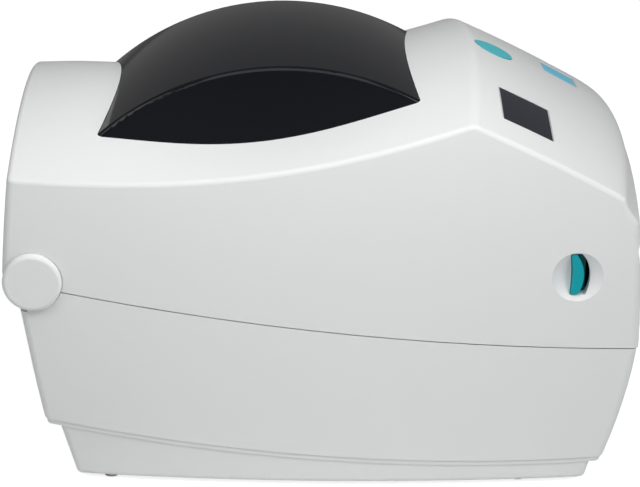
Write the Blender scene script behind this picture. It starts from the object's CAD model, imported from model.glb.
"""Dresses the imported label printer: finishes, fine pieces, studio and camera.

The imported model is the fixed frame. Lengths are metres, +X is the label exit, +Z is up.
"""
import logging
import math
from dataclasses import dataclass, field
from enum import Enum

import bpy
from mathutils import Matrix, Vector


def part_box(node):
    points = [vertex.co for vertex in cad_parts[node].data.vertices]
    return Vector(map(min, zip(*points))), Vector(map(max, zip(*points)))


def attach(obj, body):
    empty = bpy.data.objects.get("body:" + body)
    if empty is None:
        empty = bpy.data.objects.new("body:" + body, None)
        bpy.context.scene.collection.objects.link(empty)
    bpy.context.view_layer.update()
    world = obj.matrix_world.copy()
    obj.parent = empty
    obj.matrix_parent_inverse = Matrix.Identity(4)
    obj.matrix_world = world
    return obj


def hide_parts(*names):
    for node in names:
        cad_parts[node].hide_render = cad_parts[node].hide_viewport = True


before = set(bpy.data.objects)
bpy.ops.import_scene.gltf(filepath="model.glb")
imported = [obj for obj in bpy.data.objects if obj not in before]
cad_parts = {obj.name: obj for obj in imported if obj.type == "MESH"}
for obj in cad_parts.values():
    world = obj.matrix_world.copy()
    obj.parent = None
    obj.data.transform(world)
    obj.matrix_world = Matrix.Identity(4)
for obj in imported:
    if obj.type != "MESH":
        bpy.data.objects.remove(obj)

LOG = logging.getLogger("label_printer")
MM = 0.001
GRAIN_DEPTH = 0.04 * MM
SCRATCH_DEPTH = 0.02 * MM
BRUSH_DEPTH = 0.03 * MM
FAINTEST_GRAIN = 0.05
SCRATCH_STRENGTH = 0.12
SMOOTHEST = 0.02
SHARP_ANGLE = math.radians(40.0)


class Body(Enum):
    """Bodies of the frame that the fine pieces ride on."""

    BASE = "base"
    CARRIAGE = "carriage"


class Ray(Enum):
    """Light Path outputs that the studio tells apart."""

    CAMERA = "Is Camera Ray"
    GLOSSY = "Is Glossy Ray"
    TRANSMISSION = "Is Transmission Ray"


def new_tree(name: str, kind: str) -> bpy.types.NodeTree:
    """Make an empty node group.

    Args:
        name: The group's name.
        kind: The tree's type, for shaders or geometry.

    Returns:
        The new group.
    """
    return bpy.data.node_groups.new(name, kind)


def add_socket(
    tree: bpy.types.NodeTree, name: str, inward: bool, kind: str, value: float | None = None
) -> str:
    """Add one named socket to a node group.

    Args:
        tree: The node group.
        name: The socket's name.
        inward: True for an input.
        kind: The socket's type.
        value: Default value of an input.

    Returns:
        The socket's identifier.
    """
    socket = tree.interface.new_socket(name=name, in_out="INPUT" if inward else "OUTPUT", socket_type=kind)
    if value is not None:
        socket.default_value = value
    return socket.identifier


class SurfaceEffects:
    """Shader node groups that more than one finish uses."""

    def __init__(self) -> None:
        """Build the groups once."""
        self.grain = self._moulded_grain()
        self.handling = self._handling_marks()
        self.brush = self._brushed_lines()

    def _moulded_grain(self) -> bpy.types.NodeTree:
        """Build the fine spark-eroded grain of moulded plastic.

        Returns:
            A group with Height and Mottle outputs.
        """
        tree = new_tree("moulded_grain", "ShaderNodeTree")
        add_socket(tree, "Grain Scale", True, "NodeSocketFloat", 2600.0)
        add_socket(tree, "Mottle Scale", True, "NodeSocketFloat", 14.0)
        add_socket(tree, "Height", False, "NodeSocketFloat")
        add_socket(tree, "Mottle", False, "NodeSocketFloat")
        entry = tree.nodes.new("NodeGroupInput")
        leave = tree.nodes.new("NodeGroupOutput")
        place = tree.nodes.new("ShaderNodeTexCoord")
        fine = tree.nodes.new("ShaderNodeTexNoise")
        fine.inputs["Detail"].default_value = 3.0
        fine.inputs["Roughness"].default_value = 0.6
        pits = tree.nodes.new("ShaderNodeTexVoronoi")
        broad = tree.nodes.new("ShaderNodeTexNoise")
        broad.inputs["Detail"].default_value = 2.0
        add = tree.nodes.new("ShaderNodeMath")
        add.operation = "MULTIPLY_ADD"
        add.inputs[1].default_value = 0.45
        link = tree.links.new
        link(place.outputs["Object"], fine.inputs["Vector"])
        link(place.outputs["Object"], pits.inputs["Vector"])
        link(place.outputs["Object"], broad.inputs["Vector"])
        link(entry.outputs["Grain Scale"], fine.inputs["Scale"])
        link(entry.outputs["Grain Scale"], pits.inputs["Scale"])
        link(entry.outputs["Mottle Scale"], broad.inputs["Scale"])
        link(pits.outputs["Distance"], add.inputs[0])
        link(fine.outputs["Fac"], add.inputs[2])
        link(add.outputs[0], leave.inputs["Height"])
        link(broad.outputs["Fac"], leave.inputs["Mottle"])
        return tree

    def _handling_marks(self) -> bpy.types.NodeTree:
        """Build faint smears and hairline scratches.

        Returns:
            A group with a Smear and a Scratch mask.
        """
        tree = new_tree("handling_marks", "ShaderNodeTree")
        add_socket(tree, "Smear Scale", True, "NodeSocketFloat", 22.0)
        add_socket(tree, "Scratch Scale", True, "NodeSocketFloat", 60.0)
        add_socket(tree, "Smear", False, "NodeSocketFloat")
        add_socket(tree, "Scratch", False, "NodeSocketFloat")
        entry = tree.nodes.new("NodeGroupInput")
        leave = tree.nodes.new("NodeGroupOutput")
        place = tree.nodes.new("ShaderNodeTexCoord")
        smear = tree.nodes.new("ShaderNodeTexNoise")
        smear.inputs["Detail"].default_value = 4.0
        smear.inputs["Distortion"].default_value = 1.2
        stretch = tree.nodes.new("ShaderNodeMapping")
        stretch.inputs["Rotation"].default_value = (0.3, 0.5, 0.9)
        stretch.inputs["Scale"].default_value = (1.0, 26.0, 26.0)
        hair = tree.nodes.new("ShaderNodeTexNoise")
        hair.inputs["Detail"].default_value = 1.0
        ramp = tree.nodes.new("ShaderNodeMapRange")
        ramp.inputs["From Min"].default_value = 0.70
        ramp.inputs["From Max"].default_value = 0.78
        link = tree.links.new
        link(place.outputs["Object"], smear.inputs["Vector"])
        link(place.outputs["Object"], stretch.inputs["Vector"])
        link(stretch.outputs["Vector"], hair.inputs["Vector"])
        link(entry.outputs["Smear Scale"], smear.inputs["Scale"])
        link(entry.outputs["Scratch Scale"], hair.inputs["Scale"])
        link(hair.outputs["Fac"], ramp.inputs["Value"])
        link(smear.outputs["Fac"], leave.inputs["Smear"])
        link(ramp.outputs["Result"], leave.inputs["Scratch"])
        return tree

    def _brushed_lines(self) -> bpy.types.NodeTree:
        """Build the long fine lines of rolled or turned metal.

        Returns:
            A group with a Lines output.
        """
        tree = new_tree("brushed_lines", "ShaderNodeTree")
        add_socket(tree, "Line Scale", True, "NodeSocketFloat", 40.0)
        add_socket(tree, "Lines", False, "NodeSocketFloat")
        entry = tree.nodes.new("NodeGroupInput")
        leave = tree.nodes.new("NodeGroupOutput")
        place = tree.nodes.new("ShaderNodeTexCoord")
        stretch = tree.nodes.new("ShaderNodeMapping")
        stretch.inputs["Scale"].default_value = (60.0, 1.0, 60.0)
        lines = tree.nodes.new("ShaderNodeTexNoise")
        lines.inputs["Detail"].default_value = 3.0
        link = tree.links.new
        link(place.outputs["Object"], stretch.inputs["Vector"])
        link(stretch.outputs["Vector"], lines.inputs["Vector"])
        link(entry.outputs["Line Scale"], lines.inputs["Scale"])
        link(lines.outputs["Fac"], leave.inputs["Lines"])
        return tree


@dataclass(frozen=True)
class Finish:
    """Settings common to every finish."""

    name: str
    colour: tuple[float, float, float]
    roughness: float
    metallic: float = 0.0
    specular: float = 0.5
    grain: float = 0.0
    grain_scale: float = 2600.0
    mottle: float = 0.02
    smear: float = 0.04
    brushed: float = 0.0

    def build(self, effects: SurfaceEffects) -> bpy.types.Material:
        """Build the material.

        Args:
            effects: The shared shader groups.

        Returns:
            The finished material.
        """
        material = bpy.data.materials.new(self.name)
        material.use_nodes = True
        tree = material.node_tree
        shader = tree.nodes["Principled BSDF"]
        shader.inputs["Metallic"].default_value = self.metallic
        shader.inputs["Specular IOR Level"].default_value = self.specular
        grain = tree.nodes.new("ShaderNodeGroup")
        grain.node_tree = effects.grain
        grain.inputs["Grain Scale"].default_value = self.grain_scale
        marks = tree.nodes.new("ShaderNodeGroup")
        marks.node_tree = effects.handling
        link = tree.links.new
        tint = tree.nodes.new("ShaderNodeMix")
        tint.data_type = "RGBA"
        tint.inputs["A"].default_value = (*[c * (1.0 - self.mottle) for c in self.colour], 1.0)
        tint.inputs["B"].default_value = (*[min(1.0, c * (1.0 + self.mottle)) for c in self.colour], 1.0)
        link(grain.outputs["Mottle"], tint.inputs["Factor"])
        link(tint.outputs["Result"], shader.inputs["Base Color"])
        rough = tree.nodes.new("ShaderNodeMapRange")
        rough.inputs["To Min"].default_value = max(SMOOTHEST, self.roughness - self.smear)
        rough.inputs["To Max"].default_value = self.roughness + self.smear
        link(marks.outputs["Smear"], rough.inputs["Value"])
        link(rough.outputs["Result"], shader.inputs["Roughness"])
        self._relief(tree, effects, grain, marks, shader)
        return material

    def _relief(
        self,
        tree: bpy.types.NodeTree,
        effects: SurfaceEffects,
        grain: bpy.types.Node,
        marks: bpy.types.Node,
        shader: bpy.types.Node,
    ) -> None:
        """Add the bump of the grain, the scratches and any brushed lines.

        Args:
            tree: The material's node tree.
            effects: The shared shader groups.
            grain: The grain group's node.
            marks: The handling group's node.
            shader: The Principled BSDF.
        """
        bump = tree.nodes.new("ShaderNodeBump")
        bump.inputs["Strength"].default_value = self.grain if self.grain else FAINTEST_GRAIN
        bump.inputs["Distance"].default_value = GRAIN_DEPTH
        tree.links.new(grain.outputs["Height"], bump.inputs["Height"])
        scratch = tree.nodes.new("ShaderNodeBump")
        scratch.inputs["Strength"].default_value = SCRATCH_STRENGTH
        scratch.inputs["Distance"].default_value = SCRATCH_DEPTH
        scratch.invert = True
        tree.links.new(marks.outputs["Scratch"], scratch.inputs["Height"])
        tree.links.new(bump.outputs["Normal"], scratch.inputs["Normal"])
        last = scratch
        if self.brushed:
            brush = tree.nodes.new("ShaderNodeGroup")
            brush.node_tree = effects.brush
            lines = tree.nodes.new("ShaderNodeBump")
            lines.inputs["Strength"].default_value = self.brushed
            lines.inputs["Distance"].default_value = BRUSH_DEPTH
            tree.links.new(brush.outputs["Lines"], lines.inputs["Height"])
            tree.links.new(scratch.outputs["Normal"], lines.inputs["Normal"])
            last = lines
        tree.links.new(last.outputs["Normal"], shader.inputs["Normal"])


@dataclass(frozen=True)
class BorderedFinish(Finish):
    """Film of a plate, with a narrow pale band along its edges."""

    edge: tuple[float, float, float] = (0.62, 0.63, 0.65)
    band: float = 0.3 * MM

    def frame_plate(self, material: bpy.types.Material, node: str) -> None:
        """Paint the band where the plate's own outline is near, seen from above.

        Args:
            material: The film's material.
            node: The plate's node.
        """
        low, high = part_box(node)
        tree = material.node_tree
        link = tree.links.new
        shader = tree.nodes["Principled BSDF"]
        film = shader.inputs["Base Color"].links[0].from_socket
        place = tree.nodes.new("ShaderNodeTexCoord")
        split = tree.nodes.new("ShaderNodeSeparateXYZ")
        link(place.outputs["Object"], split.inputs["Vector"])
        near = []
        for axis in range(2):
            offset = tree.nodes.new("ShaderNodeMath")
            offset.operation = "SUBTRACT"
            offset.inputs[1].default_value = (low[axis] + high[axis]) / 2
            reach = tree.nodes.new("ShaderNodeMath")
            reach.operation = "ABSOLUTE"
            beyond = tree.nodes.new("ShaderNodeMath")
            beyond.operation = "GREATER_THAN"
            beyond.inputs[1].default_value = (high[axis] - low[axis]) / 2 - self.band
            link(split.outputs[axis], offset.inputs[0])
            link(offset.outputs[0], reach.inputs[0])
            link(reach.outputs[0], beyond.inputs[0])
            near.append(beyond.outputs[0])
        either = tree.nodes.new("ShaderNodeMath")
        either.operation = "MAXIMUM"
        link(near[0], either.inputs[0])
        link(near[1], either.inputs[1])
        mix = tree.nodes.new("ShaderNodeMix")
        mix.data_type = "RGBA"
        mix.inputs["B"].default_value = (*self.edge, 1.0)
        link(either.outputs[0], mix.inputs["Factor"])
        link(film, mix.inputs["A"])
        link(mix.outputs["Result"], shader.inputs["Base Color"])


SHELL = Finish(
    "shell_plastic", (0.79, 0.80, 0.80), 0.48, grain=0.16, mottle=0.008, smear=0.03, specular=0.35)
SMOKED = Finish("smoked_window", (0.006, 0.0065, 0.009), 0.09, mottle=0.05, smear=0.02, specular=0.16)
LEVER_TEAL = Finish("lever_teal", (0.0, 0.35, 0.40), 0.34, grain=0.1, smear=0.03, specular=0.25)
BUTTON_TEAL = Finish("button_teal", (0.07, 0.54, 0.61), 0.42, grain=0.2, smear=0.03)
NAMEPLATE = BorderedFinish("nameplate_film", (0.018, 0.021, 0.029), 0.3, mottle=0.04, specular=0.35)
BADGE = BorderedFinish("badge_film", (0.17, 0.68, 0.95), 0.34, mottle=0.05, band=0.5 * MM)
TRAY = Finish("tray_plastic", (0.055, 0.057, 0.062), 0.5, grain=0.35, grain_scale=1900.0)
HOLDER = Finish("holder_plastic", (0.11, 0.12, 0.13), 0.42, grain=0.25)
INSIDE_BLACK = Finish("inside_black", (0.02, 0.02, 0.021), 0.45, grain=0.3)
GEAR_WHITE = Finish("gear_acetal", (0.74, 0.73, 0.67), 0.36, mottle=0.02)
GEAR_BRASS = Finish("gear_brass", (0.72, 0.52, 0.23), 0.28, metallic=1.0, brushed=0.2)
BRIGHT_STEEL = Finish("bright_steel", (0.62, 0.63, 0.64), 0.24, metallic=1.0, brushed=0.25)
SHEET_STEEL = Finish("zinc_sheet", (0.52, 0.54, 0.55), 0.36, metallic=1.0, brushed=0.35, mottle=0.08)
SCREW_STEEL = Finish("screw_steel", (0.42, 0.43, 0.44), 0.3, metallic=1.0)
FOOT_RUBBER = Finish("foot_rubber", (0.028, 0.028, 0.03), 0.75, grain=0.5, grain_scale=1400.0)
ROLLER_RUBBER = Finish("roller_rubber", (0.04, 0.04, 0.045), 0.6, grain=0.3)
HEAD_METAL = Finish("head_heatsink", (0.55, 0.56, 0.58), 0.4, metallic=1.0, brushed=0.3)
BOARD = Finish("board_lacquer", (0.02, 0.16, 0.07), 0.28, mottle=0.2)


@dataclass
class Wardrobe:
    """The finishes of the carried-over nodes, built once."""

    effects: SurfaceEffects
    made: dict[str, bpy.types.Material] = field(default_factory=dict)

    def material(self, finish: Finish) -> bpy.types.Material:
        """Return the material of a finish, building it at first use.

        Args:
            finish: The finish.

        Returns:
            Its material.
        """
        if finish.name not in self.made:
            self.made[finish.name] = finish.build(self.effects)
        return self.made[finish.name]

    def dress(self, node: str, finish: Finish) -> None:
        """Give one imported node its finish.

        Args:
            node: The node's name.
            finish: What it is made of.
        """
        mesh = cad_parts[node].data
        mesh.materials.clear()
        mesh.materials.append(self.material(finish))
        if isinstance(finish, BorderedFinish):
            finish.frame_plate(self.material(finish), node)
        LOG.info("dressed %s with %s", node, finish.name)


NODE_FINISHES: dict[str, Finish] = {
    "top_cover": SHELL,
    "base_housing": SHELL,
    "bottom_cover": SHELL,
    "hinge_cap_left": SHELL,
    "hinge_cap_right": SHELL,
    "window": SMOKED,
    "nameplate": NAMEPLATE,
    "badge_plate": BADGE,
    "feed_button": BUTTON_TEAL,
    "release_lever_left": LEVER_TEAL,
    "release_lever_right": LEVER_TEAL,
    "media_tray": TRAY,
    "cover_frame": TRAY,
    "carriage_frame": TRAY,
    "hinge_beam": TRAY,
    "exit_sill": TRAY,
    "rack_guide": TRAY,
    "roll_holder_left": HOLDER,
    "roll_holder_right": HOLDER,
    "supply_spindle": HOLDER,
    "takeup_spindle": HOLDER,
    "gap_sensor": INSIDE_BLACK,
    "button_switch": INSIDE_BLACK,
    "board_parts": INSIDE_BLACK,
    "power_inlet": INSIDE_BLACK,
    "switch_housing": INSIDE_BLACK,
    "switch_rocker": INSIDE_BLACK,
    "idler_gear": GEAR_WHITE,
    "platen_gear": GEAR_WHITE,
    "platen_bearings": GEAR_WHITE,
    "holder_pinion": GEAR_WHITE,
    "takeup_gear": GEAR_WHITE,
    "ribbon_idler": GEAR_WHITE,
    "motor_pinion": GEAR_BRASS,
    "hinge_pins": BRIGHT_STEEL,
    "tear_bar": BRIGHT_STEEL,
    "latch_strikes": BRIGHT_STEEL,
    "platen_shaft": BRIGHT_STEEL,
    "head_springs": BRIGHT_STEEL,
    "usb_port": BRIGHT_STEEL,
    "serial_port": BRIGHT_STEEL,
    "print_chassis": SHEET_STEEL,
    "drive_motor": SHEET_STEEL,
    "head_bracket": SHEET_STEEL,
    "bottom_screws": SCREW_STEEL,
    "deck_screws": SCREW_STEEL,
    "rubber_feet": FOOT_RUBBER,
    "platen_roller": ROLLER_RUBBER,
    "print_head": HEAD_METAL,
    "main_board": BOARD,
    "io_board": BOARD,
    "button_board": BOARD,
}


class GrowthTree:
    """Geometry tree under construction, with short helpers for its nodes and links."""

    def __init__(self, name: str) -> None:
        """Start an empty tree with a geometry output.

        Args:
            name: The tree's name.
        """
        self.tree = new_tree(name, "GeometryNodeTree")
        add_socket(self.tree, "Geometry", False, "NodeSocketGeometry")
        self.entry = self.tree.nodes.new("NodeGroupInput")
        self.leave = self.tree.nodes.new("NodeGroupOutput")
        self.identifiers: dict[str, str] = {}

    def number(self, name: str, kind: str = "NodeSocketFloat") -> None:
        """Add a named input.

        Args:
            name: The input's name.
            kind: The input's socket type.
        """
        self.identifiers[name] = add_socket(self.tree, name, True, kind)

    def node(self, kind: str, **fixed: object) -> bpy.types.Node:
        """Add a node and set constants on it.

        Args:
            kind: The node's type.
            **fixed: Socket values by name, with underscores for spaces.

        Returns:
            The new node.
        """
        made = self.tree.nodes.new(kind)
        for name, value in fixed.items():
            made.inputs[name.replace("_", " ")].default_value = value
        return made

    def link(self, start: bpy.types.NodeSocket, end: bpy.types.NodeSocket) -> None:
        """Join two sockets.

        Args:
            start: The output socket.
            end: The input socket.
        """
        self.tree.links.new(start, end)

    def close(self, geometry: bpy.types.NodeSocket, material: bpy.types.Material) -> None:
        """End the tree in real geometry that carries its material.

        Args:
            geometry: The last geometry socket.
            material: The piece's material.
        """
        real = self.tree.nodes.new("GeometryNodeRealizeInstances")
        dressed = self.tree.nodes.new("GeometryNodeSetMaterial")
        dressed.inputs["Material"].default_value = material
        self.link(geometry, real.inputs["Geometry"])
        self.link(real.outputs["Geometry"], dressed.inputs["Geometry"])
        self.link(dressed.outputs["Geometry"], self.leave.inputs["Geometry"])

    def grow(
        self, name: str, spots: list[tuple[float, float, float]], **numbers: float | int
    ) -> bpy.types.Object:
        """Run the tree on a cloud of points and keep the result as a plain mesh.

        Args:
            name: The new piece's name.
            spots: Points that the tree builds on.
            **numbers: Values of the named inputs, with underscores for spaces.

        Returns:
            The finished piece.
        """
        seed = bpy.data.meshes.new(name + "_points")
        seed.from_pydata(spots, [], [])
        holder = bpy.data.objects.new(name + "_holder", seed)
        bpy.context.scene.collection.objects.link(holder)
        growth = holder.modifiers.new("growth", "NODES")
        growth.node_group = self.tree
        for label, value in numbers.items():
            growth[self.identifiers[label.replace("_", " ")]] = value
        graph = bpy.context.evaluated_depsgraph_get()
        mesh = bpy.data.meshes.new_from_object(holder.evaluated_get(graph))
        bpy.data.objects.remove(holder)
        mesh.name = name
        mesh.polygons.foreach_set("use_smooth", [True] * len(mesh.polygons))
        mesh.set_sharp_from_angle(angle=SHARP_ANGLE)
        piece = bpy.data.objects.new(name, mesh)
        bpy.context.scene.collection.objects.link(piece)
        return piece


def seeded_tree(name: str) -> GrowthTree:
    """Start a tree that reads the cloud of points it is grown on.

    Args:
        name: The tree's name.

    Returns:
        The tree, with its geometry input added.
    """
    growth = GrowthTree(name)
    add_socket(growth.tree, "Points", True, "NodeSocketGeometry")
    return growth


@dataclass(frozen=True)
class HeadSprings:
    """The two coil springs that press the print head down."""

    coils: float = 6.0
    wire: float = 0.45 * MM
    sides: int = 8
    steps: int = 28

    def build(self, material: bpy.types.Material) -> bpy.types.Object:
        """Wind the springs between the bracket and the cross plate.

        Args:
            material: The spring steel.

        Returns:
            The finished piece.
        """
        low, high = (Vector(corner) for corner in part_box("head_springs"))
        radius = (high.x - low.x) / 2
        centre_x = (low.x + high.x) / 2
        reach = high.y - radius
        growth = seeded_tree("coil_spring")
        for name in ("Coils", "Radius", "Height", "Wire"):
            growth.number(name)
        spiral = growth.node("GeometryNodeCurveSpiral", Resolution=self.steps)
        wire = growth.node("GeometryNodeCurvePrimitiveCircle", Resolution=self.sides)
        sweep = growth.node("GeometryNodeCurveToMesh", Fill_Caps=True)
        stand = growth.node("GeometryNodeInstanceOnPoints")
        growth.link(growth.entry.outputs["Coils"], spiral.inputs["Rotations"])
        growth.link(growth.entry.outputs["Radius"], spiral.inputs["Start Radius"])
        growth.link(growth.entry.outputs["Radius"], spiral.inputs["End Radius"])
        growth.link(growth.entry.outputs["Height"], spiral.inputs["Height"])
        growth.link(growth.entry.outputs["Wire"], wire.inputs["Radius"])
        growth.link(spiral.outputs["Curve"], sweep.inputs["Curve"])
        growth.link(wire.outputs["Curve"], sweep.inputs["Profile Curve"])
        growth.link(growth.entry.outputs["Points"], stand.inputs["Points"])
        growth.link(sweep.outputs["Mesh"], stand.inputs["Instance"])
        growth.close(stand.outputs["Instances"], material)
        floor = low.z + self.wire
        spots = [(centre_x, side * reach, floor) for side in (-1.0, 1.0)]
        height = high.z - low.z - 2 * self.wire
        numbers = {"Coils": self.coils, "Radius": radius - self.wire, "Height": height, "Wire": self.wire}
        piece = growth.grow("coil_springs", spots, **numbers)
        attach(piece, Body.CARRIAGE.value)
        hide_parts("head_springs")
        return piece


@dataclass(frozen=True)
class PinHeader:
    """Two rows of contact pins that stand on the control board."""

    columns: int = 10
    pitch: float = 2.54 * MM
    pin: float = 0.64 * MM
    height: float = 6.0 * MM
    lift: float = 0.05 * MM
    carrier_height: float = 2.5 * MM
    place: tuple[float, float] = (12.0 * MM, -34.0 * MM)

    def build(self, pins: bpy.types.Material, carrier: bpy.types.Material) -> list[bpy.types.Object]:
        """Stand the pins in their carrier.

        Args:
            pins: The contact metal.
            carrier: The carrier's plastic.

        Returns:
            The pins and their carrier.
        """
        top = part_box("main_board")[1][2]
        x, y = self.place
        growth = seeded_tree("pin_rows")
        for name in ("Columns", "Rows"):
            growth.number(name, "NodeSocketInt")
        for name in ("Length", "Width", "Pin", "Height"):
            growth.number(name)
        lattice = growth.node("GeometryNodeMeshGrid")
        post = growth.node("GeometryNodeMeshCube")
        shape = growth.node("ShaderNodeCombineXYZ")
        rows = growth.node("GeometryNodeInstanceOnPoints")
        real = growth.node("GeometryNodeRealizeInstances")
        stand = growth.node("GeometryNodeInstanceOnPoints")
        for source, target in (("Columns", "Vertices X"), ("Rows", "Vertices Y")):
            growth.link(growth.entry.outputs[source], lattice.inputs[target])
        for source, target in (("Length", "Size X"), ("Width", "Size Y")):
            growth.link(growth.entry.outputs[source], lattice.inputs[target])
        for source, target in (("Pin", "X"), ("Pin", "Y"), ("Height", "Z")):
            growth.link(growth.entry.outputs[source], shape.inputs[target])
        growth.link(shape.outputs["Vector"], post.inputs["Size"])
        growth.link(lattice.outputs["Mesh"], rows.inputs["Points"])
        growth.link(post.outputs["Mesh"], rows.inputs["Instance"])
        growth.link(rows.outputs["Instances"], real.inputs["Geometry"])
        growth.link(growth.entry.outputs["Points"], stand.inputs["Points"])
        growth.link(real.outputs["Geometry"], stand.inputs["Instance"])
        growth.close(stand.outputs["Instances"], pins)
        length = (self.columns - 1) * self.pitch
        numbers = {"Columns": self.columns, "Rows": 2, "Length": length, "Width": self.pitch}
        numbers |= {"Pin": self.pin, "Height": self.height}
        made = growth.grow("header_pins", [(x, y, top + self.height / 2 + self.lift)], **numbers)
        block_tree = seeded_tree("pin_carrier")
        for name in ("Length", "Width", "Height"):
            block_tree.number(name)
        size = block_tree.node("ShaderNodeCombineXYZ")
        block = block_tree.node("GeometryNodeMeshCube")
        seat = block_tree.node("GeometryNodeInstanceOnPoints")
        for source, target in (("Length", "X"), ("Width", "Y"), ("Height", "Z")):
            block_tree.link(block_tree.entry.outputs[source], size.inputs[target])
        block_tree.link(size.outputs["Vector"], block.inputs["Size"])
        block_tree.link(block_tree.entry.outputs["Points"], seat.inputs["Points"])
        block_tree.link(block.outputs["Mesh"], seat.inputs["Instance"])
        block_tree.close(seat.outputs["Instances"], carrier)
        outer = {"Length": length + self.pitch, "Width": 2 * self.pitch, "Height": self.carrier_height}
        base = block_tree.grow("header_carrier", [(x, y, top + self.carrier_height / 2)], **outer)
        for piece, slot in ((made, "gear_brass"), (base, "black_plastic")):
            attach(piece, Body.BASE.value)
        return [made, base]


@dataclass(frozen=True)
class Softbox:
    """One square studio lamp."""

    name: str
    place: tuple[float, float, float]
    size: float
    power: float

    def build(self, aim: Vector) -> bpy.types.Object:
        """Hang the lamp and point it.

        Args:
            aim: The point that it faces.

        Returns:
            The lamp object.
        """
        light = bpy.data.lights.new(self.name, "AREA")
        light.shape = "SQUARE"
        light.size = self.size
        light.energy = self.power
        lamp = bpy.data.objects.new(self.name, light)
        bpy.context.scene.collection.objects.link(lamp)
        lamp.location = self.place
        lamp.rotation_euler = (aim - Vector(self.place)).to_track_quat("-Z", "Y").to_euler()
        return lamp


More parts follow.
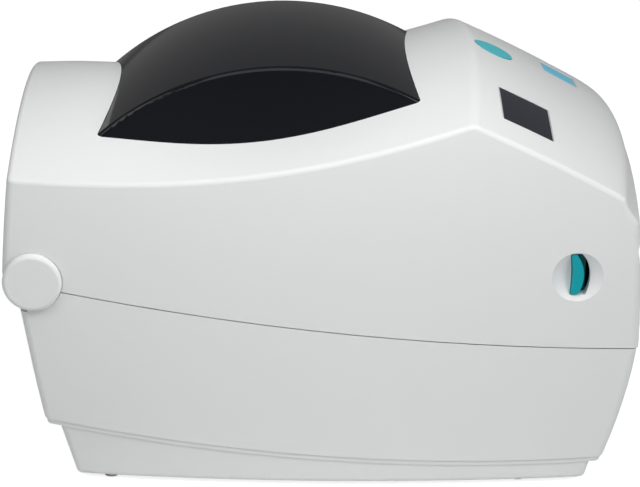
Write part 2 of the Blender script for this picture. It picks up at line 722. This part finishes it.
@dataclass
class Studio:
    """Pale floor, soft light and the camera of the photograph."""

    ambient: float = 0.10
    reflected: float = 0.24
    floor_half: float = 6.0
    floor_glow: float = 0.76
    floor_colour: float = 0.85
    focal: float = 131.06
    pitch: float = 20.57
    yaw: float = 0.9
    camera_place: tuple[float, float, float] = (-0.0147, -0.8950, 0.4093)
    lamp_aim: tuple[float, float, float] = (0.0, 0.0, 0.08)
    lamps: tuple[Softbox, ...] = (
        Softbox("canopy", (0.0, -0.20, 0.38), 0.30, 0.70),
        Softbox("left_box", (-1.3, -0.9, 1.2), 0.8, 7.9),
        Softbox("right_box", (1.3, -0.9, 1.2), 0.8, 13.6),
    )

    def build(self) -> None:
        """Make the whole studio."""
        self._floor()
        self._sky()
        for lamp in self.lamps:
            lamp.build(Vector(self.lamp_aim))
        self._camera()
        LOG.info("studio with %d lamps", len(self.lamps))

    def _floor(self) -> None:
        """Lay the floor, white to the camera, with the printer's shadow kept."""
        mesh = bpy.data.meshes.new("floor")
        half = self.floor_half
        corners = [(-half, -half, 0), (half, -half, 0), (half, half, 0), (-half, half, 0)]
        mesh.from_pydata(corners, [], [(0, 1, 2, 3)])
        floor = bpy.data.objects.new("floor", mesh)
        bpy.context.scene.collection.objects.link(floor)
        material = bpy.data.materials.new("studio_floor")
        material.use_nodes = True
        tree = material.node_tree
        shader = tree.nodes["Principled BSDF"]
        shader.inputs["Base Color"].default_value = (self.floor_colour,) * 3 + (1.0,)
        shader.inputs["Roughness"].default_value = 0.9
        shader.inputs["Specular IOR Level"].default_value = 0.0
        shader.inputs["Emission Color"].default_value = (1.0, 1.0, 1.0, 1.0)
        seen = self._background_rays(tree)
        glow = tree.nodes.new("ShaderNodeMath")
        glow.operation = "MULTIPLY"
        glow.inputs[1].default_value = self.floor_glow
        tree.links.new(seen, glow.inputs[0])
        tree.links.new(glow.outputs[0], shader.inputs["Emission Strength"])
        mesh.materials.append(material)

    def _background_rays(self, tree: bpy.types.NodeTree) -> bpy.types.NodeSocket:
        """Combine the rays that see the background.

        Args:
            tree: Node tree of the floor or the world.

        Returns:
            A socket that is 1 for those rays.
        """
        path = tree.nodes.new("ShaderNodeLightPath")
        join = tree.nodes.new("ShaderNodeMath")
        join.operation = "MAXIMUM"
        tree.links.new(path.outputs[Ray.CAMERA.value], join.inputs[0])
        tree.links.new(path.outputs[Ray.TRANSMISSION.value], join.inputs[1])
        return join.outputs[0]

    def _sky(self) -> None:
        """Set the even studio light and the plain background."""
        world = bpy.data.worlds.new("studio")
        bpy.context.scene.world = world
        world.use_nodes = True
        tree = world.node_tree
        light = tree.nodes["Background"]
        light.inputs["Color"].default_value = (1.0, 1.0, 1.0, 1.0)
        mirror = tree.nodes.new("ShaderNodeMath")
        mirror.operation = "MULTIPLY_ADD"
        mirror.inputs[1].default_value = self.reflected - self.ambient
        mirror.inputs[2].default_value = self.ambient
        path = tree.nodes.new("ShaderNodeLightPath")
        tree.links.new(path.outputs[Ray.GLOSSY.value], mirror.inputs[0])
        tree.links.new(mirror.outputs[0], light.inputs["Strength"])
        plain = tree.nodes.new("ShaderNodeBackground")
        plain.inputs["Color"].default_value = (1.0, 1.0, 1.0, 1.0)
        plain.inputs["Strength"].default_value = 1.0
        mix = tree.nodes.new("ShaderNodeMixShader")
        tree.links.new(self._background_rays(tree), mix.inputs["Fac"])
        tree.links.new(light.outputs[0], mix.inputs[1])
        tree.links.new(plain.outputs[0], mix.inputs[2])
        tree.links.new(mix.outputs[0], tree.nodes["World Output"].inputs["Surface"])

    def _camera(self) -> None:
        """Place the camera at the photograph's viewing angle."""
        data = bpy.data.cameras.new("camera")
        data.sensor_width = 36.0
        data.lens = self.focal
        data.clip_start = 0.01
        data.clip_end = 100.0
        camera = bpy.data.objects.new("camera", data)
        bpy.context.scene.collection.objects.link(camera)
        pitch, yaw = math.radians(self.pitch), math.radians(self.yaw)
        ahead = Vector((math.sin(yaw) * math.cos(pitch), math.cos(yaw) * math.cos(pitch), -math.sin(pitch)))
        right = Vector((math.cos(yaw), -math.sin(yaw), 0.0))
        above = right.cross(ahead)
        turn = Matrix((right, above, -ahead)).transposed()
        camera.matrix_world = Matrix.Translation(self.camera_place) @ turn.to_4x4()
        bpy.context.scene.camera = camera


def main() -> None:
    """Dress every piece in order."""
    logging.basicConfig(level=logging.INFO, format="%(name)s: %(message)s")
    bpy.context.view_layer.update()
    bpy.context.scene.view_settings.view_transform = "Standard"
    wardrobe = Wardrobe(SurfaceEffects())
    for node, finish in NODE_FINISHES.items():
        wardrobe.dress(node, finish)
    springs = HeadSprings().build(wardrobe.material(BRIGHT_STEEL))
    header = PinHeader().build(wardrobe.material(GEAR_BRASS), wardrobe.material(INSIDE_BLACK))
    for piece in (springs, *header):
        LOG.info("added %s with %d faces", piece.name, len(piece.data.polygons))
    Studio().build()


if __name__ == "__main__":
    main()
